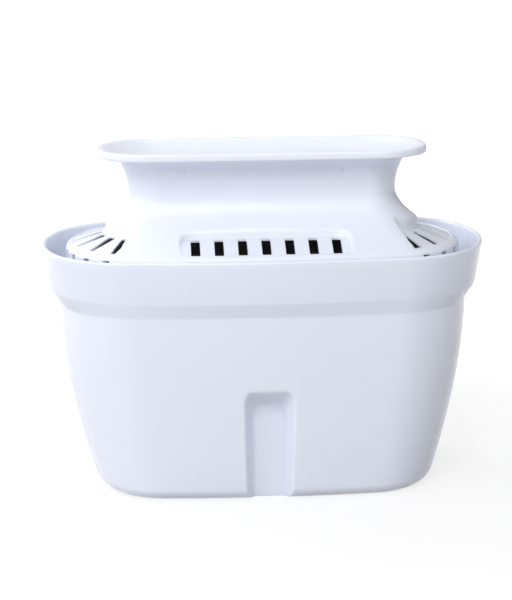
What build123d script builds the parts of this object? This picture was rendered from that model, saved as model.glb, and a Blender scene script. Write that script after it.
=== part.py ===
from build123d import *
import math
import os

os.makedirs("parts", exist_ok=True)

# Water dispenser filter cartridge, in millimetres. The origin is the middle of the base, +Z is up,
# X runs along the oval, and the front face looks along -Y. The cup holds the granules, and the lid
# is welded to a shelf inside its collar.

# Heights above the base
body_height = 48.3
ledge_height = 3.7
collar_height = 11.0
shelf_height = 0.6
rim_drop = 0.5
waist_rise = 13.9
neck_rise = 9.4
grip_thickness = 2.0

# Cup body, outside
base_half_length = 44.2
base_half_width = 27.2
base_end_bulge = 8.0
base_side_bulge = 1.8
base_corner_radius = 16.0
mouth_half_length = 53.3
mouth_half_width = 28.8
mouth_end_bulge = 10.0
mouth_side_bulge = 2.8
mouth_corner_radius = 21.0
body_swell = 1.7
base_edge_radius = 5.0
base_edge_bands = 2
body_bands = 4

# Collar, outside
collar_foot_half_length = 56.0
collar_foot_half_width = 30.2
collar_half_length = 57.8
collar_half_width = 31.5
collar_end_bulge = 11.3
collar_side_bulge = 3.8
collar_corner_radius = 24.0
collar_lip = 0.4

# Cup walls and base
cup_wall = 1.4
collar_wall = 1.3
base_thickness = 1.6

# Key groove in the front and rear faces
groove_depth = 4.8
groove_floor_width = 8.0
groove_mouth_width = 13.0
groove_floor_top = 25.6
groove_mouth_top = 29.7
groove_corner_radius = 2.0

# Outlet slots in the base
outlet_width = 1.8
outlet_length = 9.0
outlet_pitch = 5.6
outlet_columns = 11
outlet_rows = 3
outlet_row_pitch = 12.5

# Lid shoulder, outside
rim_half_length = 51.4
rim_half_width = 24.7
rim_end_bulge = 8.8
rim_side_bulge = 3.2
rim_corner_radius = 17.6
rim_edge_drop = 0.6
rim_edge_rise = 0.35
skirt_flare = 0.4
end_flare_power = 1.9
side_flare_power = 2.0
shoulder_bands = 6
shoulder_band_power = 1.4

# Lid neck and grip flange, outside
waist_half_length = 34.9
waist_half_width = 8.6
waist_end_bulge = 1.2
waist_side_bulge = 0.4
waist_corner_radius = 7.8
neck_end_flare = 2.9
neck_side_flare = 2.8
neck_corner_growth = 2.2
neck_bands = 4
grip_half_length = 43.0
grip_half_width = 14.9
grip_end_bulge = 3.0
grip_side_bulge = 0.5
grip_corner_radius = 13.0
grip_edge = 0.5

# Dish in the top of the flange
dish_depth = 2.2
dish_lip = 1.8
dish_floor_half_length = 28.0
dish_floor_half_width = 10.2
dish_floor_thickness = 1.5
dish_bands = 3

# Lid walls and the fit in the cup
lid_wall = 1.5
shoulder_drop = 1.1
grille_wall = 0.9
brim_thickness = 1.4
plug_depth = 2.0
fit = 0.15

# Front and rear grilles
panel_width = 42.8
panel_slope = 20.0
panel_low_reach = 23.6
panel_high_reach = 15.0
panel_lift = 0.3
panel_corner_radius = 2.4
panel_draft = 35.0
front_slot_count = 7
front_slot_pitch = 6.0
slot_width = 2.35
front_slot_near = 22.5
front_slot_far = 15.9

# End grilles, fanned about a point on the long axis
fan_centre = 29.6
fan_slope = 18.1
fan_slot_count = 7
fan_step = 20.55
fan_slot_inner = 12.3
fan_slot_length = 7.5
fan_slot_inner_width = 1.3
fan_slot_outer_width = 2.6
fan_border = 0.6
fan_margin = 4.6
fan_outer = 20.9

# Drain notches in the skirt, round each end
drain_width = 1.9
drain_length = 5.4
drain_top_drop = 0.5
drain_count = 9
drain_step = 15.5

# Small marks of the mould
pin_mark_width = 0.9
pin_mark_depth = 0.4
pin_mark_reach = 20.3
pin_mark_drop = 3.6

# Screens and granules
screen_thickness = 0.5
bed_top = 44.0
bed_clearance = 0.3

collar_foot = body_height + ledge_height
collar_top = collar_foot + collar_height
shelf = collar_foot + shelf_height
brim_top = shelf + brim_thickness
rim = collar_top - rim_drop
waist = rim + waist_rise
grip_foot = waist + neck_rise
grip_top = grip_foot + grip_thickness
plug_foot = shelf - plug_depth
bed_foot = base_thickness + screen_thickness
upper_screen_top = rim - shoulder_drop
fan_spread = fan_step * (fan_slot_count - 1)
drain_spread = drain_step * (drain_count - 1)


def between(low, high, share):
    """The value a share of the way from low to high."""
    return low + (high - low) * share


def oval(height, half_length, half_width, end_bulge, side_bulge, corner_radius):
    """A level oval face: four arcs through its ends and sides, joined by round corners.

    A bulge is how far the middle of an arc stands out past the ends of that arc."""
    x = half_length - end_bulge
    y = half_width - side_bulge
    with BuildSketch(Plane.XY.offset(height)) as outline:
        with BuildLine():
            ThreePointArc((-x, -y), (0, -half_width), (x, -y))
            ThreePointArc((x, -y), (half_length, 0), (x, y))
            ThreePointArc((x, y), (0, half_width), (-x, y))
            ThreePointArc((-x, y), (-half_length, 0), (-x, -y))
        make_face()
        fillet(outline.vertices(), corner_radius)
    return outline.sketch.face()


def body_share(height):
    """How far the cup body has swelled from its base's size to its mouth's at a height."""
    return 1 - (1 - height / body_height) ** body_swell


def body_outline(height, inset=0.0):
    """The cup body's outline at a height, moved in by an inset."""
    share = body_share(height)
    return oval(
        height,
        between(base_half_length, mouth_half_length, share) - inset,
        between(base_half_width, mouth_half_width, share) - inset,
        between(base_end_bulge, mouth_end_bulge, share),
        between(base_side_bulge, mouth_side_bulge, share),
        between(base_corner_radius, mouth_corner_radius, share) - inset,
    )


def body_loft(low, high, inset, edge):
    """Outlines of the cup body for a ruled loft from low to high, over a lower edge rounded by edge."""
    turns = [math.pi / 2 * i / base_edge_bands for i in range(base_edge_bands)]
    heights = [between(low + edge, high, i / body_bands) for i in range(body_bands + 1)]
    return [
        body_outline(low + edge * (1 - math.cos(turn)), inset + edge * (1 - math.sin(turn)))
        for turn in turns
    ] + [body_outline(height, inset) for height in heights]


def collar_outline(height, inset=0.0):
    """The collar's outline at a height, moved in by an inset."""
    share = (height - collar_foot) / collar_height
    return oval(
        height,
        between(collar_foot_half_length, collar_half_length, share) - inset,
        between(collar_foot_half_width, collar_half_width, share) - inset,
        collar_end_bulge,
        collar_side_bulge,
        collar_corner_radius - inset,
    )


def groove_face(reach, growth, side):
    """The groove's section at a reach from its floor; growth makes it wider, taller and deeper.

    The groove has its full depth at its top, where the body's side stands out furthest."""
    share = reach / groove_depth
    side_reach = between(base_half_width, mouth_half_width, body_share(groove_mouth_top))
    half = between(groove_floor_width, groove_mouth_width, share) / 2 + growth
    top = between(groove_floor_top, groove_mouth_top, share) + growth
    y = side_reach - groove_depth - growth + reach
    plane = Plane((0, -side * y, 0), x_dir=(side, 0, 0), z_dir=(0, -side, 0))
    with BuildSketch(plane) as face:
        with Locations((0, (top - base_edge_radius) / 2)):
            Rectangle(2 * half, top + base_edge_radius)
        fillet(face.vertices().group_by(Axis.Z)[-1], groove_corner_radius)
    return face.sketch.face()


def groove_loft(growth, side):
    """Sections of the front groove, side 1, or the rear one, side -1, from its floor outwards."""
    return [groove_face(reach, growth, side) for reach in (0, 2 * groove_depth)]


def cup_inside(low, high, gap):
    """The space inside the cup body between two heights, a gap away from its walls."""
    with BuildPart() as space:
        loft(body_loft(low, high, cup_wall + gap, base_edge_radius - cup_wall), ruled=True)
        for side in (1, -1):
            loft(groove_loft(cup_wall + gap, side), mode=Mode.SUBTRACT)
    return space.part


def mouth_outline(height, inset=0.0):
    """The outline of the cup's straight mouth at a height, moved in by an inset."""
    return oval(
        height,
        mouth_half_length - inset,
        mouth_half_width - inset,
        mouth_end_bulge,
        mouth_side_bulge,
        mouth_corner_radius - inset,
    )


def neck_outline(height, wall=0.0, drop=0.0):
    """The lid's outline at a height on its shoulder or neck.

    Below the waist it flares out to the rim by a power of the distance from the waist, and above
    the waist it flares by the square of that distance. A wall moves it in, and a drop lowers it,
    most at the rim and not at all from the waist up."""
    low = max(waist - height, 0) / waist_rise
    high = (max(height - waist, 0) / neck_rise) ** 2
    end_share = low**end_flare_power
    side_share = low**side_flare_power
    return oval(
        height - drop * low,
        between(waist_half_length, rim_half_length, end_share) + neck_end_flare * high - wall,
        between(waist_half_width, rim_half_width, side_share) + neck_side_flare * high - wall,
        between(waist_end_bulge, rim_end_bulge, end_share),
        between(waist_side_bulge, rim_side_bulge, side_share),
        between(waist_corner_radius, rim_corner_radius, side_share)
        + neck_corner_growth * high
        - wall,
    )


def neck_loft(low, high, wall=0.0, drop=0.0):
    """Outlines of the lid for a ruled loft from low to high, closest together at the rim."""
    shoulder = [(i / shoulder_bands) ** shoulder_band_power for i in range(shoulder_bands + 1)]
    heights = [between(low, waist, share) for share in shoulder]
    heights += [between(waist, high, (i + 1) / neck_bands) for i in range(neck_bands)]
    return [neck_outline(height, wall, drop) for height in heights]


def skirt_outline(height, inset=0.0):
    """The skirt's outline, which flares a little from the rim down to the brim."""
    flare = skirt_flare * (rim - height) / (rim - brim_top)
    return oval(
        height,
        rim_half_length + flare - inset,
        rim_half_width + flare - inset,
        rim_end_bulge,
        rim_side_bulge,
        rim_corner_radius + flare - inset,
    )


# Cup: body, ledge and collar in one moulding
inside = cup_inside(base_thickness, body_height, 0)
lip_foot = collar_top - collar_lip
with BuildPart() as cup:
    loft(body_loft(0, body_height, 0, base_edge_radius), ruled=True)
    for side in (1, -1):
        loft(groove_loft(0, side), mode=Mode.SUBTRACT)
    loft([body_outline(body_height), collar_outline(collar_foot)], ruled=True)
    loft([collar_outline(collar_foot), collar_outline(lip_foot), collar_outline(collar_top, collar_lip)],
         ruled=True)
    add(inside, mode=Mode.SUBTRACT)
    extrude(mouth_outline(body_height, cup_wall), amount=shelf - body_height, mode=Mode.SUBTRACT)
    loft([collar_outline(shelf, collar_wall), collar_outline(lip_foot, collar_wall),
          collar_outline(collar_top, collar_wall - collar_lip)], ruled=True, mode=Mode.SUBTRACT)
    with BuildSketch(Plane.XY):
        with GridLocations(outlet_pitch, outlet_row_pitch, outlet_columns, outlet_rows):
            Rectangle(outlet_width, outlet_length)
    extrude(amount=base_thickness, mode=Mode.SUBTRACT)
cup.part.label = "cup"
export_step(cup.part, "parts/cup.step")


def grip_outline(height, inset=0.0):
    """The flange's outline at a height, moved in by an inset."""
    return oval(
        height,
        grip_half_length - inset,
        grip_half_width - inset,
        grip_end_bulge,
        grip_side_bulge,
        grip_corner_radius - inset,
    )


def dish_outline(share):
    """The dish's outline on its slope: the floor's at share 0, and the flange's less a lip at 1."""
    return oval(
        grip_top - dish_depth * (1 - share),
        between(dish_floor_half_length, grip_half_length - dish_lip, share),
        between(dish_floor_half_width, grip_half_width - dish_lip, share),
        grip_end_bulge,
        grip_side_bulge,
        between(dish_floor_half_width, grip_corner_radius, share) - dish_lip,
    )


def panel_pocket(side, growth=0.0):
    """The space over the sloping front panel, side 1, or the rear one, side -1.

    Growth makes it lower, wider and further back, for the wall that is kept under the panel."""
    slope = math.radians(panel_slope)
    high = (panel_low_reach - panel_high_reach) / math.cos(slope) + growth
    plane = Plane(
        (0, -side * panel_low_reach, rim + panel_lift),
        x_dir=(side, 0, 0),
        z_dir=(0, -side * math.sin(slope), math.cos(slope)),
    )
    with BuildPart() as pocket:
        with BuildSketch(plane.offset(-growth)) as panel:
            with Locations((0, (high - growth) / 2)):
                Rectangle(panel_width + 2 * growth, high + growth)
            fillet(panel.vertices().group_by(Axis.Z)[-1], panel_corner_radius)
        extrude(amount=neck_rise, taper=-panel_draft)
    return pocket.part


def fan_pocket(side, growth=0.0):
    """The space over the sunken fan at the end on one side, whose floor is a cone's slope.

    Growth makes it lower and larger, for the wall that is kept under the fan."""
    inner = fan_slot_inner - fan_border - growth
    outer = fan_outer + growth
    drop = math.tan(math.radians(fan_slope))
    low = rim + drop * (rim_half_length - fan_centre - outer) - growth
    half_angle = fan_spread / 2 + fan_margin + math.degrees(growth / fan_slot_inner)
    start = math.radians((0 if side > 0 else 180) - half_angle)
    plane = Plane(
        (side * fan_centre, 0, 0),
        x_dir=(math.cos(start), math.sin(start), 0),
        z_dir=(math.sin(start), -math.cos(start), 0),
    )
    with BuildPart() as pocket:
        with BuildSketch(plane):
            with BuildLine():
                Polyline(
                    (inner, low + drop * (outer - inner)),
                    (outer, low),
                    (outer, waist),
                    (inner, waist),
                    close=True,
                )
            make_face()
        revolve(axis=Axis((side * fan_centre, 0, 0), (0, 0, 1)), revolution_arc=2 * half_angle)
    return pocket.part


# Space inside the lid from the skirt up to the dish, clear of the sunken grilles
with BuildPart() as lid_inside:
    loft([skirt_outline(shelf, lid_wall), neck_outline(rim, lid_wall, shoulder_drop)], ruled=True)
    loft(neck_loft(rim, grip_top - dish_depth - dish_floor_thickness, lid_wall, shoulder_drop),
         ruled=True)
    for side in (1, -1):
        add(panel_pocket(side, grille_wall), mode=Mode.SUBTRACT)
        add(fan_pocket(side, grille_wall), mode=Mode.SUBTRACT)

# Lid: plug, brim, skirt, slotted shoulder, waisted neck and dished flange in one moulding
with BuildPart() as lid:
    extrude(mouth_outline(plug_foot, cup_wall + fit), amount=plug_depth)
    extrude(collar_outline(shelf, collar_wall + fit), amount=brim_thickness)
    loft([skirt_outline(brim_top), skirt_outline(rim - rim_edge_drop)]
         + neck_loft(rim + rim_edge_rise, grip_foot), ruled=True)
    loft([grip_outline(grip_foot), grip_outline(grip_top - grip_edge),
          grip_outline(grip_top, grip_edge)], ruled=True)
    extrude(mouth_outline(plug_foot, cup_wall + fit + lid_wall), amount=plug_depth, mode=Mode.SUBTRACT)
    add(lid_inside.part, mode=Mode.SUBTRACT)
    loft([dish_outline(i / dish_bands) for i in range(dish_bands + 1)], ruled=True, mode=Mode.SUBTRACT)
    for side in (1, -1):
        add(panel_pocket(side), mode=Mode.SUBTRACT)
        add(fan_pocket(side), mode=Mode.SUBTRACT)
    with BuildSketch(Plane.XY.offset(brim_top)):
        for side in (1, -1):
            with Locations((0, side * (front_slot_near + front_slot_far) / 2)):
                with GridLocations(front_slot_pitch, 1, front_slot_count, 1):
                    Rectangle(slot_width, front_slot_near - front_slot_far)
            with Locations((side * fan_centre, 0)):
                with PolarLocations(
                    fan_slot_inner + fan_slot_length / 2,
                    fan_slot_count,
                    start_angle=(0 if side > 0 else 180) - fan_spread / 2,
                    angular_range=fan_spread,
                    endpoint=True,
                ):
                    Polygon(
                        (-fan_slot_length / 2, -fan_slot_inner_width / 2),
                        (fan_slot_length / 2, -fan_slot_outer_width / 2),
                        (fan_slot_length / 2, fan_slot_outer_width / 2),
                        (-fan_slot_length / 2, fan_slot_inner_width / 2),
                    )
    extrude(amount=waist - brim_top, mode=Mode.SUBTRACT)
    with BuildSketch(Plane.XY.offset(brim_top)):
        for side in (1, -1):
            with Locations((side * fan_centre, 0)):
                with PolarLocations(
                    rim_half_length - fan_centre,
                    drain_count,
                    start_angle=(0 if side > 0 else 180) - drain_spread / 2,
                    angular_range=drain_spread,
                    endpoint=True,
                ):
                    Rectangle(drain_length, drain_width)
    extrude(amount=rim - drain_top_drop - brim_top, mode=Mode.SUBTRACT)
    pin_height = grip_foot - pin_mark_drop
    pin_y = waist_half_width + neck_side_flare * ((pin_height - waist) / neck_rise) ** 2
    with Locations((-pin_mark_reach, -pin_y, pin_height), (pin_mark_reach, -pin_y, pin_height)):
        Box(pin_mark_width, 2 * pin_mark_depth, pin_mark_width, mode=Mode.SUBTRACT)
lid.part.label = "lid"
export_step(lid.part, "parts/lid.step")

# Upper screen, welded inside the skirt under the slotted shoulder
with BuildPart() as upper_screen:
    extrude(skirt_outline(upper_screen_top, lid_wall + fit), amount=-screen_thickness)
upper_screen.part.label = "upper_screen"
export_step(upper_screen.part, "parts/upper_screen.step")

# Lower screen, flat on the base inside its rounded edge
with BuildPart() as lower_screen:
    extrude(body_outline(base_thickness, base_edge_radius + fit), amount=screen_thickness)
    for side in (1, -1):
        loft(groove_loft(cup_wall + fit, side), mode=Mode.SUBTRACT)
lower_screen.part.label = "lower_screen"
export_step(lower_screen.part, "parts/lower_screen.step")

# Bed of granules, resting on the lower screen
granules = cup_inside(bed_foot, bed_top, bed_clearance)
granules.label = "media_bed"
export_step(granules, "parts/media_bed.step")
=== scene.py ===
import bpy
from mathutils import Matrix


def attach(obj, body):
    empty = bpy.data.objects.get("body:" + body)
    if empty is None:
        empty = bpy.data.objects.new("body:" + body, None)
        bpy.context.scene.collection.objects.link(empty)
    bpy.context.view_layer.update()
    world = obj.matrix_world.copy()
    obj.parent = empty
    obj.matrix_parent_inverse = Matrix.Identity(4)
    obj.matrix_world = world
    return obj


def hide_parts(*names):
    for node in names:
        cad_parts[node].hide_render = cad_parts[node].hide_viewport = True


bl_info = {
    "name": "Filter Cartridge",
    "version": (1, 0, 0),
    "blender": (4, 5, 0),
    "location": "3D View > Sidebar > Cartridge",
    "description": "Builds a dispenser's filter cartridge, its lid, screens and studio",
    "category": "Add Mesh",
}

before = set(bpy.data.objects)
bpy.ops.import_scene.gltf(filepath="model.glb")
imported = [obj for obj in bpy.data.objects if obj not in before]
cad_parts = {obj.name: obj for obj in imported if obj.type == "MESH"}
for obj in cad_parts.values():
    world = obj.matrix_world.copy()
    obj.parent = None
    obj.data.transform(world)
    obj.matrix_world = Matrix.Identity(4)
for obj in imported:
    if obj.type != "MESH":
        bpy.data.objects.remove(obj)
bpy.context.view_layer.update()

import math

import bpy
import numpy as np
from bpy.props import FloatProperty, FloatVectorProperty, IntProperty, PointerProperty
from mathutils import Matrix, Vector

MM = 0.001
CUP_COLOUR = "#E7ECFB"
LID_COLOUR = "#EAEFFC"
# The screens' near-black colour is painted shade, for the shade inside the lid seen through the slots
SCREEN_PAINTED_SHADE = "#17191B"
GRANULE_COLOUR = "#2A2622"
FLOOR_COLOUR = "#C0C0C2"

# How softly two surfaces run into each other
GROOVE_CORNER = 4.5 * MM
GROOVE_FOOT = 0.7 * MM
GROOVE_EDGE = 0.45 * MM
PANEL_FOOT = 0.12 * MM
PANEL_EDGE = 0.6 * MM
FAN_CORNER = 1.5 * MM
FAN_EDGE = 0.4 * MM

# The fans' walls: what multiplies the distance from the fan and its square, in millimetres, and the
# share of the distance that counts past a fan's outer edge
FAN_WALL_SLOPE = 1.5
FAN_WALL_CURVE = 5
FAN_OUTER_SHARE = 0.4

# Radii of the corners of what is cut out of the shells
OUTLET_CORNER = 0.2 * MM
SLOT_CORNER = 0.3 * MM
FAN_SLOT_CORNER = 0.25 * MM
NOTCH_CORNER = 0.2 * MM
MARK_CORNER = 0.15 * MM

# Least angles at which the shells' edges are shaded sharp, in degrees
CUP_SHARP = 40
LID_SHARP = 62

# Shells: steps round a rounded corner, the most that a rounding takes from a run as its share, and
# the least length of an oval's side over the distance of its last fixed column
CORNER_STEPS = 5
MOST_CUT = 0.49
SIDE_MARGIN = 1.06

# Soft boxes: their places and sizes in metres, and the share of the collar's height that they face
LAMPS = {
    "key": ((-0.2, -0.85, 0.95), (0.6, 0.6)),
    "back": ((-0.7, 0.55, 0.7), (0.6, 0.6)),
    "side": ((-0.95, -0.45, 0.25), (0.35, 0.7)),
    "strip": ((0.62, -0.55, 0.3), (0.06, 0.5)),
}
LAMP_AIM = 0.7


def linear(hex_colour):
    """The linear red, green and blue of an sRGB hex colour."""
    values = [int(hex_colour[i:i + 2], 16) / 255 for i in (1, 3, 5)]
    return [v / 12.92 if v <= 0.04045 else ((v + 0.055) / 1.055) ** 2.4 for v in values]


def length(name, millimetres, description):
    """A length property whose default is given in millimetres."""
    return FloatProperty(name=name, description=description, default=millimetres * MM,
                         min=0.0, unit="LENGTH", precision=4)


def number(name, value, description):
    """A plain number property."""
    return FloatProperty(name=name, description=description, default=value)


def watts(name, value, description):
    """A property that holds a lamp's power in watts."""
    return FloatProperty(name=name, description=description, default=value, min=0.0, unit="POWER")


def angle(name, degrees, description):
    """An angle property whose default is given in degrees."""
    return FloatProperty(name=name, description=description, default=math.radians(degrees),
                         subtype="ANGLE", unit="ROTATION")


def colour(name, value, description):
    """A colour property whose default is an sRGB hex value."""
    return FloatVectorProperty(name=name, description=description, default=linear(value),
                               size=3, min=0.0, max=1.0, subtype="COLOR")


class CupSizes(bpy.types.PropertyGroup):
    """Sizes of the cup: its body, ledge and collar."""

    body_height: length("Body height", 48.3, "Height of the tapered body below the ledge")
    collar_foot: length("Collar foot", 52.0, "Height where the ledge ends and the collar starts")
    collar_top: length("Collar top", 63.0, "Height of the collar's lip")
    shelf: length("Shelf", 52.6, "Height of the shelf inside the collar that carries the lid")
    base_half_length: length("Base half length", 44.2, "Half the base along the oval")
    base_half_width: length("Base half width", 27.2, "Half the base across the oval")
    base_end_bulge: length("Base end bulge", 8.0, "Rise of the arc over an end of the base")
    base_side_bulge: length("Base side bulge", 1.8, "Rise of the arc over a side of the base")
    base_corner: length("Base corner", 16.0, "Radius of the base's corners")
    mouth_half_length: length("Mouth half length", 53.3, "Half the body's top along the oval")
    mouth_half_width: length("Mouth half width", 28.8, "Half the body's top across the oval")
    mouth_end_bulge: length("Mouth end bulge", 10.0, "Rise of the arc over an end of the top")
    mouth_side_bulge: length("Mouth side bulge", 2.8, "Rise of the arc over a side of the top")
    mouth_corner: length("Mouth corner", 21.0, "Radius of the corners of the body's top")
    swell: number("Swell", 1.7, "Power by which the body swells from base to top")
    base_edge: length("Base edge", 3.2, "Radius of the edge round the base")
    collar_foot_half_length: length("Collar foot half length", 56.0, "Half the collar's foot along the oval")
    collar_foot_half_width: length("Collar foot half width", 30.2, "Half the collar's foot across the oval")
    collar_half_length: length("Collar half length", 57.8, "Half the collar's top along the oval")
    collar_half_width: length("Collar half width", 31.5, "Half the collar's top across the oval")
    collar_end_bulge: length("Collar end bulge", 11.3, "Rise of the arc over an end of the collar")
    collar_side_bulge: length("Collar side bulge", 3.8, "Rise of the arc over a side of the collar")
    collar_corner: length("Collar corner", 24.0, "Radius of the collar's corners")
    wall: length("Wall", 1.4, "Thickness of the body's wall")
    collar_wall: length("Collar wall", 1.3, "Thickness of the collar's wall")
    base_thickness: length("Base thickness", 1.6, "Thickness of the base")
    groove_depth: length("Groove depth", 4.8, "Depth of the key groove at its top")
    groove_floor_width: length("Groove floor width", 8.0, "Width of the groove's floor")
    groove_mouth_width: length("Groove mouth width", 13.0, "Width of the groove at the body's face")
    groove_floor_top: length("Groove floor top", 24.6, "Height of the top of the groove's floor")
    groove_mouth_top: length("Groove mouth top", 28.9, "Height of the top of the groove at the face")
    outlet_width: length("Outlet width", 1.8, "Width of a slot in the base")
    outlet_length: length("Outlet length", 9.0, "Length of a slot in the base")
    outlet_pitch: length("Outlet pitch", 5.6, "Distance between slots along the base")
    outlet_row_pitch: length("Outlet row pitch", 12.5, "Distance between rows of slots")
    outlet_columns: IntProperty(name="Outlet columns", description="Slots in a row", default=11, min=1)
    outlet_rows: IntProperty(name="Outlet rows", description="Rows of slots in the base", default=3, min=1)


class LidSizes(bpy.types.PropertyGroup):
    """Sizes of the lid: its plug, shoulder, neck, flange and grilles."""

    rim: length("Rim", 62.5, "Height of the shoulder's outer edge")
    waist_rise: length("Waist rise", 13.9, "Height of the waist above the rim")
    neck_rise: length("Neck rise", 9.4, "Height of the flange's foot above the waist")
    grip_thickness: length("Flange thickness", 2.0, "Thickness of the flange at its edge")
    rim_half_length: length("Rim half length", 51.4, "Half the rim along the oval")
    rim_half_width: length("Rim half width", 24.7, "Half the rim across the oval")
    rim_end_bulge: length("Rim end bulge", 8.8, "Rise of the arc over an end of the rim")
    rim_side_bulge: length("Rim side bulge", 3.2, "Rise of the arc over a side of the rim")
    rim_corner: length("Rim corner", 17.6, "Radius of the rim's corners")
    rim_edge: length("Rim edge", 0.9, "Size of the rounding along the rim")
    skirt_flare: length("Skirt flare", 0.4, "How far the skirt flares out from rim to brim")
    end_flare_power: number("End flare power", 1.9, "Power by which the shoulder's ends flare")
    side_flare_power: number("Side flare power", 2.0, "Power by which the shoulder's sides flare")
    waist_half_length: length("Waist half length", 34.9, "Half the neck's waist along the oval")
    waist_half_width: length("Waist half width", 8.6, "Half the neck's waist across the oval")
    waist_end_bulge: length("Waist end bulge", 1.2, "Rise of the arc over an end of the waist")
    waist_side_bulge: length("Waist side bulge", 0.4, "Rise of the arc over a side of the waist")
    waist_corner: length("Waist corner", 7.8, "Radius of the waist's corners")
    neck_end_flare: length("Neck end flare", 2.9, "How far the neck's ends flare up to the flange")
    neck_side_flare: length("Neck side flare", 2.8, "How far the neck's sides flare up to the flange")
    neck_corner_growth: length("Neck corner growth", 2.2, "Growth of the neck's corners up to the flange")
    grip_half_length: length("Flange half length", 43.0, "Half the flange along the oval")
    grip_half_width: length("Flange half width", 14.9, "Half the flange across the oval")
    grip_end_bulge: length("Flange end bulge", 3.0, "Rise of the arc over an end of the flange")
    grip_side_bulge: length("Flange side bulge", 0.5, "Rise of the arc over a side of the flange")
    grip_corner: length("Flange corner", 13.0, "Radius of the flange's corners")
    dish_depth: length("Dish depth", 2.2, "Depth of the dish in the flange")
    dish_lip: length("Dish lip", 1.8, "Width of the flat lip round the dish")
    dish_half_length: length("Dish floor half length", 28.0, "Half the dish's floor along the oval")
    dish_half_width: length("Dish floor half width", 10.2, "Half the dish's floor across the oval")
    dish_floor: length("Dish floor thickness", 1.5, "Thickness of the dish's floor")
    wall: length("Wall", 1.5, "Thickness of the lid's wall, measured level")
    shoulder_drop: length("Shoulder drop", 1.1, "How much lower the shoulder's inside lies at the rim")
    grille_wall: length("Grille wall", 0.45, "Thickness of the lid under its panels and fans")
    brim_thickness: length("Brim thickness", 1.4, "Thickness of the brim on the cup's shelf")
    plug_depth: length("Plug depth", 2.0, "How far the plug reaches into the cup")
    fit: length("Fit", 0.15, "Clearance between lid and cup")
    panel_width: length("Panel width", 42.8, "Width of the sunken panel in the front and rear")
    panel_slope: angle("Panel slope", 20.0, "Slope of the panel")
    panel_low_reach: length("Panel low reach", 23.6, "Distance of the panel's low edge from the middle")
    panel_high_reach: length("Panel high reach", 15.0, "Distance of the panel's high edge from the middle")
    panel_lift: length("Panel lift", 0.3, "Height of the panel's low edge above the rim")
    panel_corner: length("Panel corner", 2.4, "Radius of the panel's upper corners")
    panel_draft: angle("Panel draft", 35.0, "Lean of the panel's walls")
    front_slots: IntProperty(name="Front slots", description="Slots in a panel", default=7, min=1)
    front_pitch: length("Front slot pitch", 6.0, "Distance between the panel's slots")
    slot_width: length("Slot width", 2.35, "Width of the panel's slots")
    front_near: length("Front slot near end", 22.5, "Distance of the slots' outer ends from the middle")
    front_far: length("Front slot far end", 15.3, "Distance of the slots' inner ends from the middle")
    fan_centre: length("Fan centre", 29.6, "Point on the long axis that an end's slots fan about")
    fan_slope: angle("Fan slope", 18.1, "Slope of the sunken fan")
    fan_slots: IntProperty(name="Fan slots", description="Slots in the fan at an end", default=7, min=2)
    fan_step: angle("Fan step", 20.55, "Angle from one slot of the fan to the next")
    fan_inner: length("Fan slot inner end", 12.3, "Distance of the slots' inner ends from the fan's centre")
    fan_length: length("Fan slot length", 7.5, "Length of a slot of the fan")
    fan_inner_width: length("Fan slot inner width", 1.3, "Width of a slot at its inner end")
    fan_outer_width: length("Fan slot outer width", 2.6, "Width of a slot at its outer end")
    fan_border: length("Fan border", 0.6, "Width of the sunken fan past its slots' inner ends")
    fan_margin: angle("Fan margin", 4.6, "Angle of the sunken fan past its last slot")
    fan_outer: length("Fan outer", 20.9, "Distance of the sunken fan's outer edge from its centre")
    drain_width: length("Drain width", 1.9, "Width of a drain notch in the skirt")
    drain_length: length("Drain length", 5.4, "Length of the cut that makes a drain notch")
    drain_drop: length("Drain drop", 0.5, "Distance of a notch's top below the rim")
    drains: IntProperty(name="Drains", description="Drain notches at an end", default=9, min=2)
    drain_step: angle("Drain step", 15.5, "Angle from one drain notch to the next")
    mark_width: length("Mark width", 0.9, "Width of the mould's two small square marks")
    mark_depth: length("Mark depth", 0.4, "Depth of the marks")
    mark_reach: length("Mark reach", 20.3, "Distance of the marks from the middle")
    mark_drop: length("Mark drop", 3.6, "Distance of the marks below the flange")


class Finishes(bpy.types.PropertyGroup):
    """Colours and glosses of the cartridge."""

    cup: colour("Cup", CUP_COLOUR, "Colour of the cup's polypropylene")
    lid: colour("Lid", LID_COLOUR, "Colour of the lid's polypropylene")
    # painted shade: the screens' dark colour stands for the shade inside the lid
    screen: colour("Screens", SCREEN_PAINTED_SHADE, "Colour of the woven screens")
    granules: colour("Granules", GRANULE_COLOUR, "Colour of the bed of granules")
    cup_roughness: number("Cup roughness", 0.2, "Roughness of the cup's polished surface")
    lid_roughness: number("Lid roughness", 0.32, "Roughness of the lid's surface")


class StageSettings(bpy.types.PropertyGroup):
    """Floor, lights and camera."""

    floor: colour("Floor", FLOOR_COLOUR, "Colour of the floor")
    floor_size: length("Floor size", 12000.0, "Side of the square floor")
    key_power: watts("Key power", 7.2, "Power of the soft box high in front")
    back_power: watts("Back power", 4.0, "Power of the soft box behind at the left")
    side_power: watts("Side power", 1.4, "Power of the tall soft box at the left")
    strip_power: watts("Strip power", 0.3, "Power of the strip at the right")
    sky_left: number("Sky, left", 1.08, "Strength of the sky's light from the left")
    sky_right: number("Sky, right", 0.05, "Strength of the sky's light from the right")
    floor_share: number("Floor share", 0.6, "Share of plain white in the floor under the cartridge")
    floor_glow: number("Floor glow", 1.3, "Strength of that white")
    glow_start: length("Glow start", 80.0, "Distance where the share of plain white starts to grow")
    glow_reach: length("Glow reach", 300.0, "Distance where the floor is all plain white")
    yaw: angle("Camera yaw", 3.2, "How far the camera stands to the left of the front")
    pitch: angle("Camera pitch", 11.3, "How far the camera looks down")
    roll: angle("Camera roll", -0.5, "Turn of the camera about its line of sight")
    distance: length("Camera distance", 540.0, "Distance of the camera from the collar")
    shift_right: number("Shift right", -6.2 / 600, "Shift of the frame, as a share of its height")
    shift_up: number("Shift up", -62 / 600, "Shift of the frame, as a share of its height")
    lens: FloatProperty(name="Lens", description="Focal length of the camera", default=123.3, min=1.0,
                        subtype="DISTANCE_CAMERA")


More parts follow.
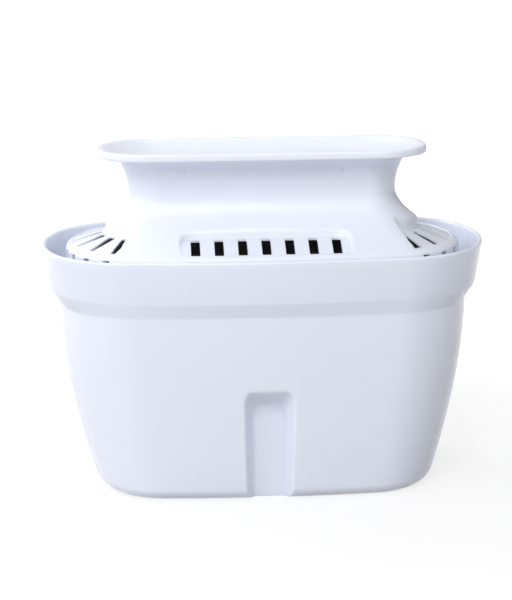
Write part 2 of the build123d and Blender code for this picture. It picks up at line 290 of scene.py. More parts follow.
# Surfaces

# A section of an oval form is one row of seven numbers: its height, half length, half width, end
# bulge, side bulge, corner radius and scale. OVAL names the five between the first and the last.
OVAL = ("half_length", "half_width", "end_bulge", "side_bulge", "corner")


def oval(sizes, name):
    """The five sizes of a named oval, out of a property group."""
    return np.array([getattr(sizes, f"{name}_{part}") for part in OVAL])


def section(height, half_length, half_width, end_bulge, side_bulge, corner, inset=0.0, scale=1.0):
    """One section, moved in by an inset, which also takes its corner radius down."""
    return np.array([height, half_length - inset, half_width - inset, end_bulge, side_bulge,
                     corner - inset, scale])


def raised(row, rise):
    """A section moved up."""
    return row + np.array([rise, 0, 0, 0, 0, 0, 0])


def shrunk(row, scales):
    """Copies of a section, at one scale after another."""
    rows = np.repeat(row[None], len(scales), axis=0)
    rows[:, 6] = scales
    return rows


def ovals(sections, places):
    """Points of level ovals, one row for each section.

    An oval is four arcs joined by round corners. The arc over a side has a bulge s on a half chord
    c, so its radius is (c² + s²) / 2s, and so has the arc over an end. A corner's centre lies the
    side's radius less the corner's from the side's centre, and the same way from the end's. The
    places are those of columns, on a quarter, which is mirrored into the whole oval. The fixed
    distances shrink together where the side is too short for them."""
    z, a, b, e, s, r, scale = (sections[:, i, None] for i in range(7))
    fixed, side, corner, end = places
    side_radius = ((a - e) ** 2 + s**2) / (2 * s)
    end_radius = ((b - s) ** 2 + e**2) / (2 * e)
    side_y, end_x = b - side_radius, a - end_radius
    apart = np.hypot(end_x, side_y)
    along = ((side_radius - r) ** 2 - (end_radius - r) ** 2 + apart**2) / (2 * apart)
    across = np.sqrt(np.maximum((side_radius - r) ** 2 - along**2, 0))
    corner_x = (end_x * along - side_y * across) / apart
    corner_y = side_y - (side_y * along + end_x * across) / apart
    side_turn = np.arctan2(corner_y - side_y, corner_x)
    end_turn = np.arctan2(corner_y, corner_x - end_x)
    side_reach = side_radius * np.cos(side_turn)
    near = np.minimum(1, side_reach / (SIDE_MARGIN * fixed[-1])) * fixed
    far = near[:, -1:] + (side_reach - near[:, -1:]) * side
    x1 = np.hstack([near, far])
    y1 = side_y + np.sqrt(side_radius**2 - x1**2)
    turn = side_turn + (end_turn - side_turn) * corner
    x2, y2 = corner_x + r * np.cos(turn), corner_y + r * np.sin(turn)
    turn = end_turn * (1 - end)
    x3, y3 = end_x + end_radius * np.cos(turn), end_radius * np.sin(turn)
    x, y = np.hstack([x1, x2, x3])[:, ::-1], np.hstack([y1, y2, y3])[:, ::-1]
    x = scale * np.hstack([x, -x[:, -2::-1], -x[:, 1:], x[:, -2:0:-1]])
    y = scale * np.hstack([y, y[:, -2::-1], -y[:, 1:], -y[:, -2:0:-1]])
    return np.dstack([x, y, np.broadcast_to(z, x.shape)])


def columns(fixed, side, corner, end):
    """Places on a quarter of an oval: fixed distances along its side, and then shares of what is
    left of the side, of the corner and of the end, in even steps."""
    return (fixed, np.arange(1, side) / side, np.arange(corner) / corner, np.arange(end + 1) / end)


def rounded(profile):
    """Sections along a profile of straight runs whose corners are rounded.

    Each row of the profile is a corner's section, the length that its rounding takes from the run
    before it and from the run behind it, and the steps on the run before it. The first corner and
    the last aren't rounded. Round a corner P the profile follows the parabola
    (1 - t)² A + 2 t (1 - t) P + t² B, where A and B lie on the two runs at that length from P."""
    corners, cuts, steps = zip(*profile)
    rows = [corners[0]]
    start = corners[0]
    for i in range(1, len(corners)):
        corner = corners[i]
        stop, after = corner, corner
        if cuts[i]:
            before, behind = corners[i - 1] - corner, corners[i + 1] - corner
            stop = corner + before * min(MOST_CUT, cuts[i] / run_length(corner, corners[i - 1]))
            after = corner + behind * min(MOST_CUT, cuts[i] / run_length(corner, corners[i + 1]))
        t = np.linspace(0, 1, steps[i] + 1)[1:, None]
        rows.append(start + (stop - start) * t)
        if cuts[i]:
            t = np.linspace(0, 1, CORNER_STEPS + 1)[1:, None]
            rows.append((1 - t) ** 2 * stop + 2 * t * (1 - t) * corner + t**2 * after)
        start = after
    return np.vstack(rows)


def run_length(first, second):
    """Length of a profile's run between two sections, measured over the side."""
    return math.hypot(first[0] - second[0], first[2] * first[6] - second[2] * second[6])


def shell_mesh(name, grid):
    """A closed mesh over a grid whose rows are rings; its first and last rings close at a pole."""
    rings, count, _ = grid.shape
    poles = np.array([grid[0].mean(axis=0), grid[-1].mean(axis=0)])
    points = np.vstack([grid.reshape(-1, 3), poles])
    index = np.arange(rings * count).reshape(rings, count)
    beside = np.roll(index, -1, axis=1)
    quads = np.dstack([index[:-1], beside[:-1], beside[1:], index[1:]]).reshape(-1, 4)
    first = np.column_stack([beside[0], index[0], np.full(count, rings * count)])
    last = np.column_stack([index[-1], beside[-1], np.full(count, rings * count + 1)])
    mesh = bpy.data.meshes.new(name)
    mesh.from_pydata(points.tolist(), [], quads.tolist() + first.tolist() + last.tolist())
    return mesh


def prism_mesh(name, outline, places, low, high):
    """Upright prisms of one outline, each turned and moved to a place (x, y, angle).

    A point (u, v) of the outline goes to x + u cos - v sin, y + u sin + v cos, at both heights."""
    places = np.array(places)
    x, y, turn = (places[:, i, None] for i in range(3))
    px = x + outline[:, 0] * np.cos(turn) - outline[:, 1] * np.sin(turn)
    py = y + outline[:, 0] * np.sin(turn) + outline[:, 1] * np.cos(turn)
    rows = [np.dstack([px, py, np.full(px.shape, height)]) for height in (low, high)]
    points = np.stack(rows, axis=1)
    count, size = len(places), len(outline)
    index = np.arange(points[..., 0].size).reshape(count, 2, size)
    beside = np.roll(index, -1, axis=2)
    sides = np.stack([index[:, 0], beside[:, 0], beside[:, 1], index[:, 1]], axis=-1).reshape(-1, 4)
    mesh = bpy.data.meshes.new(name)
    faces = sides.tolist() + index[:, 0, ::-1].tolist() + index[:, 1].tolist()
    mesh.from_pydata(points.reshape(-1, 3).tolist(), [], faces)
    return mesh


def stadium(half_length, half_width, corner, steps=6):
    """Outline of a rectangle with round corners: four quarter circles about its corner centres.
    Where two of them meet in one point, it is kept once."""
    turn = np.linspace(0, math.pi / 2, steps)
    turns = (turn + np.arange(4)[:, None] * math.pi / 2).ravel()
    side_x = np.repeat([1, -1, -1, 1], steps) * (half_length - corner)
    side_y = np.repeat([1, 1, -1, -1], steps) * (half_width - corner)
    outline = np.column_stack([side_x + corner * np.cos(turns), side_y + corner * np.sin(turns)])
    gaps = np.linalg.norm(outline - np.roll(outline, 1, axis=0), axis=1)
    return outline[gaps > 0.0001 * MM]


def soft_min(first, second, size):
    """The smaller of two values, rounded where they meet, and lower there by a quarter of the size.

    With s = 1/2 + (b - a) / 2 size, held between 0 and 1, it is b + (a - b) s - size s (1 - s)."""
    share = np.clip(0.5 + 0.5 * (second - first) / size, 0, 1)
    return second + (first - second) * share - size * share * (1 - share)


def soft_max(first, second, size):
    """The larger of two values, rounded where they meet."""
    return -soft_min(-first, -second, size)


def cut(obj, *cutters):
    """Cuts each mesh out of an object, and keeps the result as the object's own mesh."""
    for cutter in cutters:
        tool = bpy.data.objects.new("cutter", cutter)
        bpy.context.scene.collection.objects.link(tool)
        step = obj.modifiers.new("Cut", "BOOLEAN")
        step.operation, step.solver, step.object = "DIFFERENCE", "EXACT", tool
        graph = bpy.context.evaluated_depsgraph_get()
        mesh = bpy.data.meshes.new_from_object(obj.evaluated_get(graph))
        obj.modifiers.clear()
        obj.data = mesh
        bpy.data.objects.remove(tool)


def place(name, mesh, material, node):
    """Links a finished piece that stands for a node of the frame."""
    obj = bpy.data.objects.new(name, mesh)
    mesh.materials.append(material)
    bpy.context.scene.collection.objects.link(obj)
    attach(obj, "root")
    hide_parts(node)
    return obj


def smooth(mesh, degrees):
    """Shades a mesh smooth, with sharp edges where its faces meet at more than an angle."""
    mesh.polygons.foreach_set("use_smooth", np.ones(len(mesh.polygons), dtype=bool))
    mesh.set_sharp_from_angle(angle=math.radians(degrees))
    mesh.update()


# Cup


def body_section(c, height, inset=0.0):
    """The cup body's section: its sizes swell from the base's to the mouth's by 1 - (1 - h)^power,
    where h is the height's share of the body."""
    share = 1 - (1 - min(height / c.body_height, 1)) ** c.swell
    base, mouth = oval(c, "base"), oval(c, "mouth")
    return section(height, *(base + (mouth - base) * share), inset)


def collar_section(c, height, inset=0.0):
    """The collar's section, whose length and width grow evenly from its foot to its top."""
    share = (height - c.collar_foot) / (c.collar_top - c.collar_foot)
    top = oval(c, "collar")
    foot = np.array([c.collar_foot_half_length, c.collar_foot_half_width, *top[2:]])
    return section(height, *(foot + (top - foot) * share), inset)


def base_rounding(c, foot, radius, inset):
    """Sections of the rounded edge of a base: at the angle t the height is foot + R (1 - cos t),
    and the outline lies R (1 - sin t) inside the body's at that height."""
    turns = np.linspace(0, math.pi / 2, 12)
    return np.array([
        body_section(c, foot + radius * (1 - math.cos(t)), inset + radius * (1 - math.sin(t)))
        for t in turns
    ])


def groove(c, grid, growth):
    """Sinks the key grooves into a grid of the body.

    The groove's wall stands off its floor by the largest of 0, (|x| - half floor) / side slope and
    (z - floor top) / top slope, and the grid's |y| becomes the smaller of itself and that, all of
    them softly. Growth makes the groove larger, for the inside of its wall."""
    x, y, z = grid[..., 0], grid[..., 1], grid[..., 2]
    side_reach = body_section(c, c.groove_mouth_top)[2]
    side_slope = (c.groove_mouth_width - c.groove_floor_width) / 2 / c.groove_depth
    top_slope = (c.groove_mouth_top - c.groove_floor_top) / c.groove_depth
    side = (np.abs(x) - c.groove_floor_width / 2 - growth) / side_slope
    top = (z - c.groove_floor_top - growth) / top_slope
    wall = soft_max(soft_max(side, top, GROOVE_CORNER), 0, GROOVE_FOOT)
    depth = side_reach - c.groove_depth - growth + wall
    sunk = grid.copy()
    sunk[..., 1] = np.sign(y) * soft_min(np.abs(y), depth, GROOVE_EDGE)
    return sunk


def cup_grid(c):
    """The cup's surface: base, rounded edge, body with its grooves, ledge, collar, lip, and back
    down the inside to the floor, as one profile carried round the oval."""
    # the columns lie close together over the groove's walls, and the rows over its upper end
    fixed = np.concatenate([np.linspace(0, 3.4, 8), np.linspace(3.65, 7.9, 18), [8.6, 9.6]]) * MM
    quarter = columns(fixed, side=14, corner=26, end=18)
    heights = np.concatenate([np.arange(6, 24, 1.5), np.arange(24, 31, 0.35), np.arange(32, 47, 2.0)])
    base = shrunk(body_section(c, 0, c.base_edge), np.linspace(0.12, 0.97, 6))
    body = np.array([body_section(c, h * MM) for h in heights])
    outside = np.vstack([base, base_rounding(c, 0, c.base_edge, 0), body])
    rise = c.body_height
    top = rounded([
        (body_section(c, rise - 0.9 * MM), 0, 0),
        (body_section(c, rise), 0.35 * MM, 1),
        (collar_section(c, c.collar_foot), 0.25 * MM, 3),
        (collar_section(c, c.collar_top), 0.6 * MM, 6),
        (collar_section(c, c.collar_top, c.collar_wall), 0.6 * MM, 1),
        (collar_section(c, c.shelf, c.collar_wall), 0.3 * MM, 6),
        (raised(body_section(c, rise, c.wall), c.shelf - rise), 0.3 * MM, 2),
        (body_section(c, rise, c.wall), 0, 2),
    ])
    inner_heights = np.linspace(rise - 2 * MM, c.base_thickness + c.base_edge, 24)
    inner = np.array([body_section(c, h, c.wall) for h in inner_heights])
    floor_edge = base_rounding(c, c.base_thickness, c.base_edge - c.wall, c.wall)[::-1]
    centre = shrunk(floor_edge[-1], np.linspace(0.8, 0.15, 4))
    return np.concatenate([
        groove(c, ovals(outside, quarter), 0),
        ovals(top, quarter),
        groove(c, ovals(np.vstack([inner, floor_edge]), quarter), c.wall),
        ovals(centre, quarter),
    ])


# Lid


def neck_section(d, height, wall=0.0, drop=0.0):
    """The lid's section on its shoulder or neck.

    With low = (waist - z) / rise, the shoulder flares out to the rim by low to a power, and with
    high = (z - waist) / neck, the neck flares out to the flange by high squared. A drop lowers the
    section by its share low."""
    waist = d.rim + d.waist_rise
    low, high = max(waist - height, 0) / d.waist_rise, max(height - waist, 0) / d.neck_rise
    end, side = low**d.end_flare_power, low**d.side_flare_power
    shares = np.array([end, side, end, side, side])
    flare = np.array([d.neck_end_flare, d.neck_side_flare, 0, 0, d.neck_corner_growth]) * high**2
    narrow, wide = oval(d, "waist"), oval(d, "rim")
    return section(height - drop * low, *(narrow + (wide - narrow) * shares + flare), wall)


def skirt_section(d, height, brim, inset=0.0):
    """The skirt's section, which flares evenly from the rim down to the brim."""
    flare = d.skirt_flare * (d.rim - height) / (d.rim - brim)
    return section(height, *oval(d, "rim"), inset - flare)


def plug_section(c, height, inset):
    """The section of the plug, which follows the cup's mouth."""
    return section(height, *oval(c, "mouth"), inset)


def grip_section(d, height, inset=0.0):
    """The flange's section."""
    return section(height, *oval(d, "grip"), inset)


def sink_panels(d, grid, growth=0.0):
    """Sinks the sloping front and rear panels into a grid of the shoulder.

    In the panel's frame x runs along it, v up its slope and n out of it. A point's n becomes the
    smaller of itself and its distance outside the panel's rounded outline over the tangent of the
    draft, both softly. Growth makes the panel lower and larger, for the inside of its wall."""
    x, y, z = np.abs(grid[..., 0]), np.abs(grid[..., 1]), grid[..., 2]
    slope_cos, slope_sin = math.cos(d.panel_slope), math.sin(d.panel_slope)
    out, up = y - d.panel_low_reach, z - d.rim - d.panel_lift
    v, n = up * slope_sin - out * slope_cos, out * slope_sin + up * slope_cos + growth
    high = (d.panel_low_reach - d.panel_high_reach) / slope_cos + growth
    side, top = x - d.panel_width / 2 - growth + d.panel_corner, v - high + d.panel_corner
    outside = np.hypot(np.maximum(side, 0), np.maximum(top, 0)) - d.panel_corner
    outside = np.maximum(np.maximum(outside, -v - growth), 0)
    outside = np.hypot(outside, PANEL_FOOT) - PANEL_FOOT
    sunk_n = soft_min(n, outside / math.tan(d.panel_draft), PANEL_EDGE)
    change = np.where(n > -PANEL_EDGE, sunk_n - n, 0)
    sunk = grid.copy()
    sunk[..., 1] += np.sign(grid[..., 1]) * change * slope_sin
    sunk[..., 2] += change * slope_cos
    return sunk


def sink_fans(d, grid, growth=0.0):
    """Sinks the fan at each end into a grid of the shoulder.

    The fan's floor is a cone about a point on the long axis, whose height falls with the distance
    r from it. At a distance s outside the fan's sector its wall stands slope s + curve s² / mm
    above the floor, and s grows more slowly past the fan's outer edge. A point's height becomes the
    smaller of its own and the fan's, softly. Growth makes the fan lower and larger, for the inside
    of its wall."""
    x, y, z = np.abs(grid[..., 0]) - d.fan_centre, np.abs(grid[..., 1]), grid[..., 2]
    r = np.hypot(x, y)
    inner = d.fan_inner - d.fan_border - growth
    half = d.fan_step * (d.fan_slots - 1) / 2 + d.fan_margin
    low = d.rim + math.tan(d.fan_slope) * (d.rim_half_length - d.fan_centre - d.fan_outer)
    floor = low + math.tan(d.fan_slope) * (d.fan_outer - r) - growth
    beside = y * math.cos(half) - x * math.sin(half) - growth
    outside = np.maximum(soft_max(inner - r, beside, FAN_CORNER), 0)
    outside = np.maximum(outside, FAN_OUTER_SHARE * (r - d.fan_outer - growth))
    wall = FAN_WALL_SLOPE * outside + FAN_WALL_CURVE * outside**2 / MM
    sunk = grid.copy()
    sunk[..., 2] = np.where(x > 0, soft_min(z, floor + wall, FAN_EDGE), z)
    return sunk


def lid_grid(c, d):
    """The lid's surface: from the ceiling down the inside to the plug's foot, then up the outside
    over brim, skirt, shoulder, neck and flange to the dish, as one profile carried round the oval."""
    # the columns lie close together over the ends of the panels
    fixed = np.concatenate([np.linspace(0, 20.4, 14), np.linspace(20.85, 24.2, 11)]) * MM
    quarter = columns(fixed, side=20, corner=60, end=28)
    # shares of the shoulder and of the neck where their roundings at rim and flange take over
    rim_share, shoulder_share, neck_share = 0.05, 0.945, 0.93
    waist, brim_top = d.rim + d.waist_rise, c.shelf + d.brim_thickness
    grip_foot, plug_foot = waist + d.neck_rise, c.shelf - d.plug_depth
    grip_top = grip_foot + d.grip_thickness
    ceiling = grip_top - d.dish_depth - d.dish_floor
    centre = shrunk(neck_section(d, ceiling, d.wall), np.linspace(0.2, 0.85, 4))
    upper = np.array([neck_section(d, h, d.wall) for h in np.linspace(ceiling, waist, 5)[:-1]])
    under = np.array([neck_section(d, h, d.wall, d.shoulder_drop)
                      for h in np.linspace(waist, d.rim, 30)])
    plug = c.wall + d.fit
    brim = collar_section(c, c.shelf, c.collar_wall + d.fit)
    foot = rounded([
        (under[-1], 0, 0),
        (skirt_section(d, c.shelf, brim_top, d.wall), 0, 2),
        (plug_section(c, c.shelf, plug + d.wall), 0, 1),
        (plug_section(c, plug_foot, plug + d.wall), 0, 1),
        (plug_section(c, plug_foot, plug), 0, 1),
        (plug_section(c, c.shelf, plug), 0, 1),
        (brim, 0, 1),
        (raised(brim, d.brim_thickness), 0.3 * MM, 1),
        (skirt_section(d, brim_top, brim_top), 0.5 * MM, 2),
        (skirt_section(d, d.rim, brim_top), d.rim_edge, 5),
        (neck_section(d, d.rim + rim_share * d.waist_rise), 0, 1),
    ])
    # the shoulder's rows are evenly spaced along its curve, which is measured in short steps
    share = np.linspace(0, 1, 400)
    side = (d.rim_half_width - d.waist_half_width) * share**2
    walked = np.concatenate([[0], np.cumsum(np.hypot(np.diff(side), np.diff(share) * d.waist_rise))])
    even = np.interp(np.linspace(0, np.interp(shoulder_share, share, walked), 52), walked, share)
    shoulder = np.array([neck_section(d, waist - d.waist_rise * s) for s in even[::-1]])
    neck = np.array([neck_section(d, waist + d.neck_rise * s)
                     for s in np.linspace(0, neck_share, 14)[1:]])
    lip = grip_section(d, grip_top, d.dish_lip)
    dish_floor = section(grip_top - d.dish_depth, d.dish_half_length, d.dish_half_width,
                         d.grip_end_bulge, d.grip_side_bulge, d.dish_half_width - d.dish_lip)
    # the dish falls by 0.6 of its depth over the outer 0.4 of its wall
    grip = rounded([
        (neck_section(d, waist + d.neck_rise * neck_share), 0, 0),
        (neck_section(d, grip_foot), 0.5 * MM, 1),
        (grip_section(d, grip_foot), 0.45 * MM, 2),
        (grip_section(d, grip_top), 0.7 * MM, 1),
        (lip, 0.3 * MM, 1),
        (raised(0.6 * lip + 0.4 * dish_floor, -0.2 * d.dish_depth), 0.6 * MM, 3),
        (dish_floor, 0.8 * MM, 3),
        (shrunk(dish_floor, [0.15])[0], 0, 6),
    ])
    inside, outside = (
        sink_fans(d, sink_panels(d, ovals(rows, quarter), growth), growth)
        for rows, growth in ((under, d.grille_wall), (shoulder, 0))
    )
    return np.concatenate([
        ovals(np.vstack([centre, upper]), quarter), inside, ovals(foot[1:], quarter), outside,
        ovals(np.vstack([neck, grip[1:]]), quarter),
    ])


def slot_places(d):
    """Places of the panels' slots, as (x, y, angle)."""
    steps = (np.arange(d.front_slots) - (d.front_slots - 1) / 2) * d.front_pitch
    middle = (d.front_near + d.front_far) / 2
    return [(x, side * middle, 0.0) for side in (-1, 1) for x in steps]


def fan_places(d, count, step, radius):
    """Places fanned about the point on the long axis at each end, as (x, y, angle)."""
    turns = (np.arange(count) - (count - 1) / 2) * step
    return [
        (side * (d.fan_centre + radius * math.cos(t)), side * radius * math.sin(t), t)
        for side in (-1, 1) for t in turns
    ]


# Materials


def add(tree, kind, inputs=None, **settings):
    """Adds a node with its settings. Inputs are given by name or number, as a value or as the
    socket that feeds them."""
    node = tree.nodes.new(kind)
    for name, value in settings.items():
        setattr(node, name, value)
    for name, value in (inputs or {}).items():
        if isinstance(value, bpy.types.NodeSocket):
            tree.links.new(node.inputs[name], value)
        else:
            node.inputs[name].default_value = value
    return node


def begin(name):
    """A new material with an empty tree, and its Object coordinates."""
    material = bpy.data.materials.new(name)
    material.use_nodes = True
    tree = material.node_tree
    tree.nodes.clear()
    return material, tree, add(tree, "ShaderNodeTexCoord").outputs["Object"]


def shade(tint, factor):
    """A tint made darker or lighter, as a socket's colour."""
    return (*(min(1, value * factor) for value in tint), 1)


def moulded_polypropylene(name, tint, roughness, ripple):
    """Polypropylene, injection moulded in a steel mould, polished or satin.

    A milky, slightly bluish white with a soft gloss: light goes a little way in, the surface keeps
    a long, shallow ripple from the melt's flow, and the gloss varies faintly where the mould is
    worn."""
    material, tree, where = begin(name)
    # flow of the melt: clouds about 40 mm across, just off even in tone
    flow = add(tree, "ShaderNodeTexNoise", {"Vector": where, "Scale": 25.0, "Detail": 1.0})
    tone = add(tree, "ShaderNodeMix", {0: flow.outputs["Fac"], 6: shade(tint, 0.985),
                                       7: shade(tint, 1)}, data_type="RGBA").outputs[2]
    # worn polish: patches about 10 mm across
    wear = add(tree, "ShaderNodeTexNoise", {"Vector": where, "Scale": 100.0, "Detail": 3.0})
    gloss = add(tree, "ShaderNodeMapRange", {"Value": wear.outputs["Fac"],
                                             "To Min": roughness - 0.02, "To Max": roughness + 0.03})
    # shrinkage ripple: waves about 20 mm long, and over them a grain of 0.4 mm
    sink = add(tree, "ShaderNodeTexNoise", {"Vector": where, "Scale": 50.0, "Detail": 0.0})
    spark = add(tree, "ShaderNodeTexNoise", {"Vector": where, "Scale": 2500.0, "Detail": 1.0})
    waves = add(tree, "ShaderNodeBump", {"Height": sink.outputs["Fac"], "Strength": ripple,
                                         "Distance": 0.0004})
    grain = add(tree, "ShaderNodeBump", {"Height": spark.outputs["Fac"], "Strength": 0.05,
                                         "Distance": 0.00004, "Normal": waves.outputs["Normal"]})
    shader = add(tree, "ShaderNodeBsdfPrincipled", {
        "Base Color": tone, "Roughness": gloss.outputs["Result"], "Normal": grain.outputs["Normal"],
        "IOR": 1.49, "Subsurface Weight": 0.25, "Subsurface Scale": 0.0025,
        "Subsurface Radius": (1.0, 1.0, 1.1),
    })
    add(tree, "ShaderNodeOutputMaterial", {"Surface": shader.outputs["BSDF"]})
    return material


def woven_polyester(name, tint):
    """Polyester screen cloth, woven. Threads cross with open meshes between them, in a near-black tint
    that is painted shade: it stands for the shade inside the lid that shows through the slots. The
    threads are drawn 5.2 mm apart (0.314 / scale), much coarser than the real ones."""
    material, tree, where = begin(name)
    across, along = (
        add(tree, "ShaderNodeTexWave", {"Vector": where, "Scale": 60.0}, bands_direction=direction)
        for direction in ("X", "Y")
    )
    weave = add(tree, "ShaderNodeMath", {0: across.outputs["Fac"], 1: along.outputs["Fac"]},
                operation="MULTIPLY").outputs["Value"]
    bump = add(tree, "ShaderNodeBump", {"Height": weave, "Strength": 0.5, "Distance": 0.0002})
    tone = add(tree, "ShaderNodeMix", {0: weave, 6: shade(tint, 0.3), 7: shade(tint, 1)},
               data_type="RGBA").outputs[2]
    shader = add(tree, "ShaderNodeBsdfPrincipled", {
        "Base Color": tone, "Normal": bump.outputs["Normal"], "Roughness": 0.7, "IOR": 1.57,
    })
    add(tree, "ShaderNodeOutputMaterial", {"Surface": shader.outputs["BSDF"]})
    return material


def packed_granules(name, tint):
    """Granules of carbon and resin, screened and packed: rounded grains about 1 mm across, some
    paler than others, with dark gaps between them."""
    material, tree, where = begin(name)
    grains = add(tree, "ShaderNodeTexVoronoi", {"Vector": where, "Scale": 1000.0})
    bump = add(tree, "ShaderNodeBump", {"Height": grains.outputs["Distance"], "Strength": 1.0,
                                        "Distance": 0.0006}, invert=True)
    tone = add(tree, "ShaderNodeMix", {0: grains.outputs["Color"], 6: shade(tint, 0.4),
                                       7: shade(tint, 3)}, data_type="RGBA")
    shader = add(tree, "ShaderNodeBsdfPrincipled", {
        "Base Color": tone.outputs[2], "Normal": bump.outputs["Normal"], "Roughness": 0.6,
    })
    add(tree, "ShaderNodeOutputMaterial", {"Surface": shader.outputs["BSDF"]})
    return material


# Operators


class BuildCup(bpy.types.Operator):
    """Builds the cup: tapered oval body with key grooves, ledge and collar"""

    bl_idname = "cartridge.cup"
    bl_label = "Build Cup"

    def execute(self, context):
        scene = context.scene
        c, finish = scene.cartridge_cup, scene.cartridge_finish
        material = moulded_polypropylene("Polypropylene, moulded and polished", list(finish.cup),
                                         finish.cup_roughness, ripple=0.25)
        cup = place("cup_shell", shell_mesh("cup_shell", cup_grid(c)), material, "cup")
        columns_x = (np.arange(c.outlet_columns) - (c.outlet_columns - 1) / 2) * c.outlet_pitch
        rows_y = (np.arange(c.outlet_rows) - (c.outlet_rows - 1) / 2) * c.outlet_row_pitch
        outline = stadium(c.outlet_width / 2, c.outlet_length / 2, OUTLET_CORNER)
        # the cutters reach past both sides of the base
        cut(cup, prism_mesh("outlets", outline, [(x, y, 0.0) for y in rows_y for x in columns_x],
                            -MM, c.base_thickness + 0.3 * MM))
        smooth(cup.data, CUP_SHARP)
        return {"FINISHED"}


class BuildLid(bpy.types.Operator):
    """Builds the lid: slotted shoulder, waisted neck and dished flange"""

    bl_idname = "cartridge.lid"
    bl_label = "Build Lid"

    def execute(self, context):
        scene = context.scene
        c, d, finish = scene.cartridge_cup, scene.cartridge_lid, scene.cartridge_finish
        material = moulded_polypropylene("Polypropylene, moulded and satin", list(finish.lid),
                                         finish.lid_roughness, ripple=0.18)
        lid = place("lid_shell", shell_mesh("lid_shell", lid_grid(c, d)), material, "lid")
        waist, brim_top = d.rim + d.waist_rise, c.shelf + d.brim_thickness
        slot = stadium(d.slot_width / 2, (d.front_near - d.front_far) / 2, SLOT_CORNER)
        # a fan's slot widens evenly from its inner end to its outer one
        fan = stadium(d.fan_length / 2, d.fan_inner_width / 2, FAN_SLOT_CORNER)
        widening = d.fan_outer_width / d.fan_inner_width - 1
        fan[:, 1] *= 1 + widening * (0.5 + fan[:, 0] / d.fan_length)
        notch = stadium(d.drain_length / 2, d.drain_width / 2, NOTCH_CORNER)
        reach = d.fan_inner + d.fan_length / 2
        mark_height = waist + d.neck_rise - d.mark_drop
        mark_y = neck_section(d, mark_height)[2]
        mark = stadium(d.mark_width / 2, d.mark_depth, MARK_CORNER)
        # slots are cut from above the brim up to the waist, and notches from just above the brim
        cut(
            lid,
            prism_mesh("front_slots", slot, slot_places(d), brim_top + MM, waist),
            prism_mesh("fan_slots", fan, fan_places(d, d.fan_slots, d.fan_step, reach), brim_top + MM,
                       waist),
            prism_mesh("drain_notches", notch,
                       fan_places(d, d.drains, d.drain_step, d.rim_half_length - d.fan_centre),
                       brim_top + 0.05 * MM, d.rim - d.drain_drop),
            prism_mesh("marks", mark, [(-d.mark_reach, -mark_y, 0), (d.mark_reach, -mark_y, 0)],
                       mark_height - d.mark_width / 2, mark_height + d.mark_width / 2),
        )
        smooth(lid.data, LID_SHARP)
        return {"FINISHED"}


class FinishInside(bpy.types.Operator):
    """Gives the woven screens and the bed of granules their materials"""

    bl_idname = "cartridge.inside"
    bl_label = "Finish Screens and Granules"

    def execute(self, context):
        finish = context.scene.cartridge_finish
        # the screens get a near-black tint that is painted shade of the lid's inside
        screen = woven_polyester("Polyester, woven screen cloth", list(finish.screen))
        granules = packed_granules("Carbon and resin, packed granules", list(finish.granules))
        for node, material in (("upper_screen", screen), ("lower_screen", screen),
                               ("media_bed", granules)):
            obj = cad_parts[node]
            for slot in obj.material_slots:
                slot.material = material
            if not obj.material_slots:
                raise RuntimeError(f"{node} has no material slot")
        return {"FINISHED"}


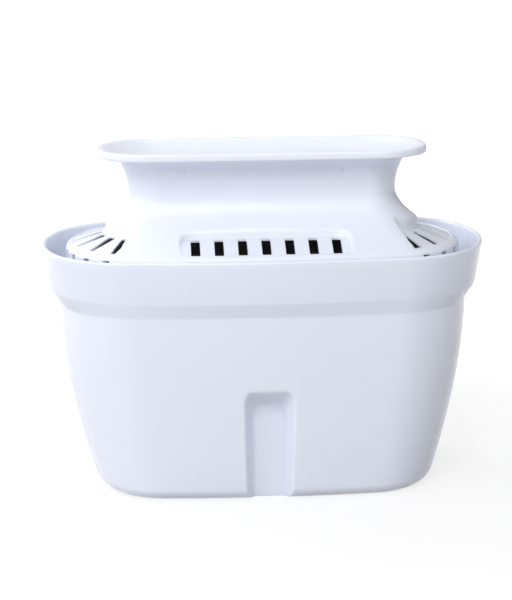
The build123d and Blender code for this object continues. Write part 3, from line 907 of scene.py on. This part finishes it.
class BuildStage(bpy.types.Operator):
    """Builds the floor, the soft lights and the camera"""

    bl_idname = "cartridge.stage"
    bl_label = "Build Stage"

    def execute(self, context):
        scene = context.scene
        s, c = scene.cartridge_stage, scene.cartridge_cup
        half = s.floor_size / 2
        mesh = bpy.data.meshes.new("floor")
        mesh.from_pydata([(-half, -half, 0), (half, -half, 0), (half, half, 0), (-half, half, 0)], [],
                         [(0, 1, 2, 3)])
        floor = bpy.data.objects.new("floor", mesh)
        scene.collection.objects.link(floor)
        mesh.materials.append(self.floor_material(s))
        self.sky(scene, s)
        middle = Vector((0, 0, c.collar_top * LAMP_AIM))
        for name, (where, size) in LAMPS.items():
            self.soft_box(scene, name, where, middle, size, getattr(s, f"{name}_power"))
        self.camera(scene, s, c)
        scene.view_settings.view_transform = "Standard"
        return {"FINISHED"}

    def floor_material(self, s):
        """Painted board, rolled: a plain pale matt floor that the camera and reflections see as
        white, and that keeps the object's shadow."""
        material, tree, where = begin("Painted board, rolled matt")
        # stipple of the roller: bumps about 3 mm across
        stipple = add(tree, "ShaderNodeTexNoise", {"Vector": where, "Scale": 330.0})
        nap = add(tree, "ShaderNodeBump", {"Height": stipple.outputs["Fac"], "Strength": 0.05,
                                           "Distance": 0.0002})
        paint = add(tree, "ShaderNodeBsdfDiffuse", {"Color": (*s.floor, 1), "Normal": nap.outputs["Normal"]})
        glow = add(tree, "ShaderNodeEmission", {"Color": (1, 1, 1, 1), "Strength": s.floor_glow})
        away = add(tree, "ShaderNodeVectorMath", {0: where}, operation="LENGTH").outputs["Value"]
        glow_share = add(tree, "ShaderNodeMapRange", {
            "Value": away, "From Min": s.glow_start, "From Max": s.glow_reach, "To Min": s.floor_share,
            "To Max": 1.0}, interpolation_type="SMOOTHSTEP")
        share = add(tree, "ShaderNodeMath", {0: self.seen(tree, glossy=True),
                                             1: glow_share.outputs["Result"]}, operation="MULTIPLY")
        both = add(tree, "ShaderNodeMixShader", {"Fac": share.outputs["Value"], 1: paint.outputs["BSDF"],
                                                 2: glow.outputs["Emission"]})
        add(tree, "ShaderNodeOutputMaterial", {"Surface": both.outputs["Shader"]})
        return material

    def seen(self, tree, glossy):
        """1 where the camera, or light that passes through or is mirrored, sees the surface."""
        path = add(tree, "ShaderNodeLightPath").outputs
        value = add(tree, "ShaderNodeMath", {0: path["Is Camera Ray"], 1: path["Is Transmission Ray"]},
                    operation="MAXIMUM").outputs["Value"]
        if glossy:
            value = add(tree, "ShaderNodeMath", {0: value, 1: path["Is Glossy Ray"]},
                        operation="MAXIMUM").outputs["Value"]
        return value

    def sky(self, scene, s):
        """A pale sky, bright at the left and dim at the right, that the camera sees as white."""
        world = bpy.data.worlds.new("Studio")
        scene.world = world
        world.use_nodes = True
        tree = world.node_tree
        tree.nodes.clear()
        way = add(tree, "ShaderNodeTexCoord").outputs["Generated"]
        across = add(tree, "ShaderNodeSeparateXYZ", {0: way}).outputs["X"]
        level = add(tree, "ShaderNodeMapRange", {"Value": across, "From Min": -1.0, "From Max": 1.0,
                                                 "To Min": s.sky_left, "To Max": s.sky_right})
        strength = add(tree, "ShaderNodeMapRange", {"Value": self.seen(tree, glossy=False),
                                                    "To Min": level.outputs["Result"], "To Max": 1.0})
        light = add(tree, "ShaderNodeBackground", {"Color": (1, 1, 1, 1),
                                                   "Strength": strength.outputs["Result"]})
        add(tree, "ShaderNodeOutputWorld", {"Surface": light.outputs["Background"]})

    def soft_box(self, scene, name, where, target, size, power):
        """A rectangular lamp that faces a target."""
        lamp = bpy.data.lights.new(name, "AREA")
        lamp.shape, lamp.energy = "RECTANGLE", power
        lamp.size, lamp.size_y = size
        obj = bpy.data.objects.new(name, lamp)
        obj.location = where
        obj.rotation_euler = (target - Vector(where)).to_track_quat("-Z", "Y").to_euler()
        scene.collection.objects.link(obj)

    def camera(self, scene, s, c):
        """The camera at the photograph's place: it looks at the middle of the collar's top."""
        target = Vector((0, 0, c.collar_top))
        ahead = Vector((math.sin(s.yaw) * math.cos(s.pitch), math.cos(s.yaw) * math.cos(s.pitch),
                        -math.sin(s.pitch)))
        data = bpy.data.cameras.new("camera")
        data.lens = s.lens
        data.shift_x, data.shift_y = s.shift_right, s.shift_up
        obj = bpy.data.objects.new("camera", data)
        turn = ahead.to_track_quat("-Z", "Y").to_matrix() @ Matrix.Rotation(s.roll, 3, "Z")
        obj.matrix_world = Matrix.Translation(target - ahead * s.distance) @ turn.to_4x4()
        scene.collection.objects.link(obj)
        scene.camera = obj


class CartridgePanel(bpy.types.Panel):
    """Lists the cartridge's operators and sizes"""

    bl_idname = "VIEW3D_PT_cartridge"
    bl_label = "Filter Cartridge"
    bl_space_type = "VIEW_3D"
    bl_region_type = "UI"
    bl_category = "Cartridge"

    def draw(self, context):
        for operator in OPERATORS:
            self.layout.operator(operator.bl_idname)
        for group in GROUPS:
            box = self.layout.box()
            values = getattr(context.scene, group)
            for name in type(values).__annotations__:
                box.prop(values, name)


OPERATORS = (BuildStage, BuildCup, BuildLid, FinishInside)
GROUPS = {
    "cartridge_cup": CupSizes,
    "cartridge_lid": LidSizes,
    "cartridge_finish": Finishes,
    "cartridge_stage": StageSettings,
}


def register():
    """Registers the classes and gives the scene its property groups."""
    for kind in (*GROUPS.values(), *OPERATORS, CartridgePanel):
        bpy.utils.register_class(kind)
    for name, kind in GROUPS.items():
        setattr(bpy.types.Scene, name, PointerProperty(type=kind))


def unregister():
    """Takes the property groups and the classes away again."""
    for name in GROUPS:
        delattr(bpy.types.Scene, name)
    for kind in (CartridgePanel, *OPERATORS, *GROUPS.values()):
        bpy.utils.unregister_class(kind)


def main():
    """Builds the stage and the pieces."""
    register()
    bpy.ops.cartridge.stage()
    bpy.ops.cartridge.cup()
    bpy.ops.cartridge.lid()
    bpy.ops.cartridge.inside()


if __name__ == "__main__":
    main()
